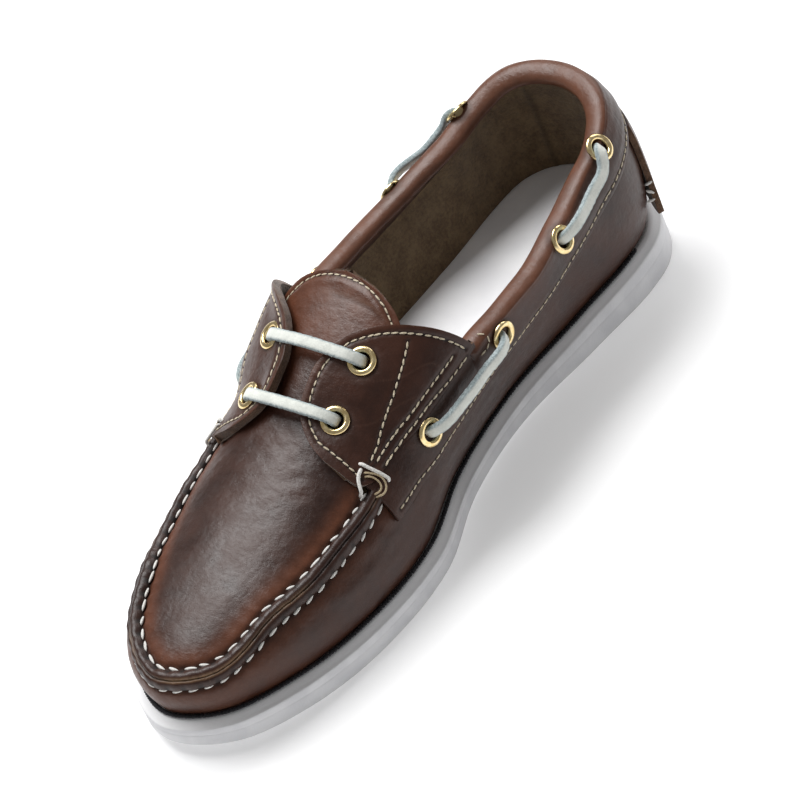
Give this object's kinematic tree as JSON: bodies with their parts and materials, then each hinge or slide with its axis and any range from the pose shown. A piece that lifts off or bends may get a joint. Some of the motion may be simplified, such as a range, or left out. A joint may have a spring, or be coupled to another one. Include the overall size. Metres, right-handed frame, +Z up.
{
  "type": "boat shoe",
  "caption": "Hand-sewn leather moccasin boat shoe for the right foot, with a raised plug seam, laced wings, padded collar with side laces and a flat white rubber sole.",
  "frame": {"origin": "middle of the underside of the bounding box, on the floor the sole stands on", "axes": "toe points along -Y, heel along +Y, +X is the medial side of this right shoe, +Z is up"},
  "size_m": [0.0964, 0.2695, 0.0833],
  "materials": {
    "leather": "waxed dark brown pull-up leather, satin",
    "lace_leather": "off-white rawhide lace, matte",
    "white_rubber": "white rubber, matte",
    "insole_sock": "smooth pale sock lining, matte",
    "brass": "polished brass",
    "welt_thread": "dark twisted cord, matte"
  },
  "bodies": {
    "root": {"collar_band": "leather", "collar_roll": "leather", "heel_kicker": "leather", "insole": "insole_sock", "lace_bar_lower": "lace_leather", "lace_bar_upper": "lace_leather", "outsole": "white_rubber", "plug_seam_ridge": "leather", "side_eyelet_front_lateral": "brass", "side_eyelet_front_medial": "brass", "side_eyelet_heel_lateral": "brass", "side_eyelet_heel_medial": "brass", "side_eyelet_middle_lateral": "brass", "side_eyelet_middle_medial": "brass", "side_eyelet_rear_lateral": "brass", "side_eyelet_rear_medial": "brass", "side_lace_front_lateral": "lace_leather", "side_lace_front_medial": "lace_leather", "side_lace_rear_lateral": "lace_leather", "side_lace_rear_medial": "lace_leather", "throat_eyelet_lower_lateral": "brass", "throat_eyelet_lower_medial": "brass", "throat_eyelet_upper_lateral": "brass", "throat_eyelet_upper_medial": "brass", "tongue": "leather", "upper": "leather", "welt_cord": "welt_thread", "wing_lateral": "leather", "wing_medial": "leather"}
  },
  "joints": []
}
